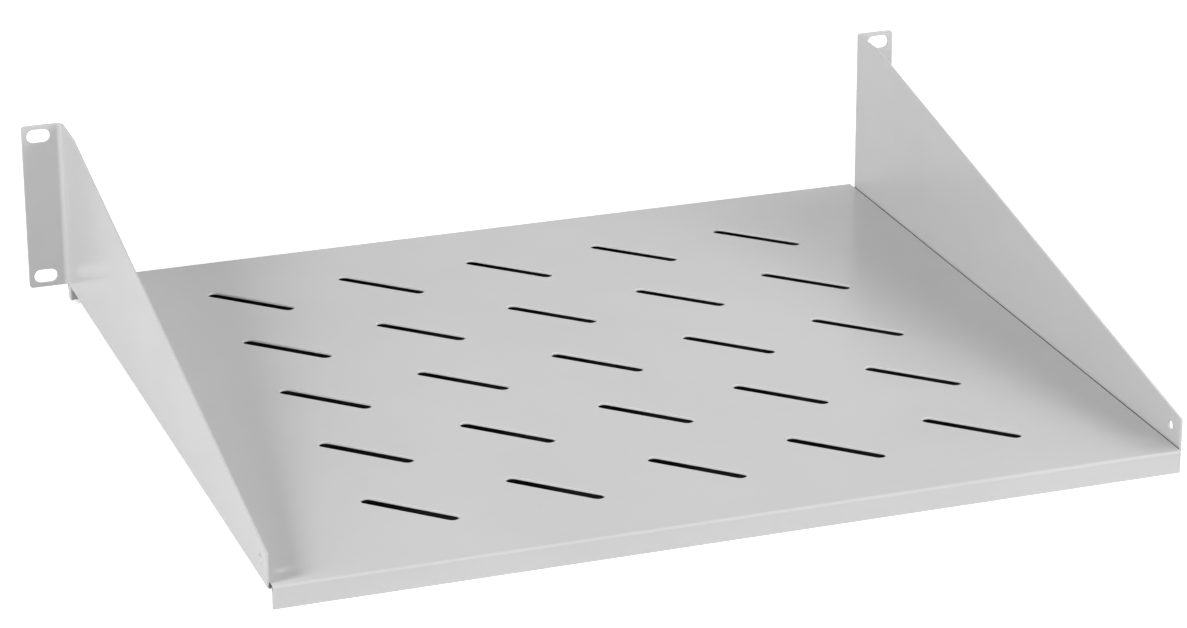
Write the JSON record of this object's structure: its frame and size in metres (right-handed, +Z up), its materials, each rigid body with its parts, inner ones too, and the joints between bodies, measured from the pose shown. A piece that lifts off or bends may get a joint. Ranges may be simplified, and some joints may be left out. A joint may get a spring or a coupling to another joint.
{
  "type": "rack shelf",
  "caption": "Vented 19 inch rack shelf, two units high: a lipped sheet steel tray between two tapering side brackets that end in slotted rack ears.",
  "frame": {"origin": "midway between the four rack slots, on the rear faces of the ears, which meet the rack rails", "axes": "+X across the rack, +Y from the shelf's rear lip to its front lip, +Z up"},
  "size_m": [0.4826, 0.4, 0.0984],
  "materials": {
    "powder_coat": "light grey powder coat on sheet steel, smooth and half gloss"
  },
  "bodies": {
    "root": {"shelf_tray": "powder_coat", "left_side_bracket": "powder_coat", "right_side_bracket": "powder_coat"}
  },
  "joints": []
}
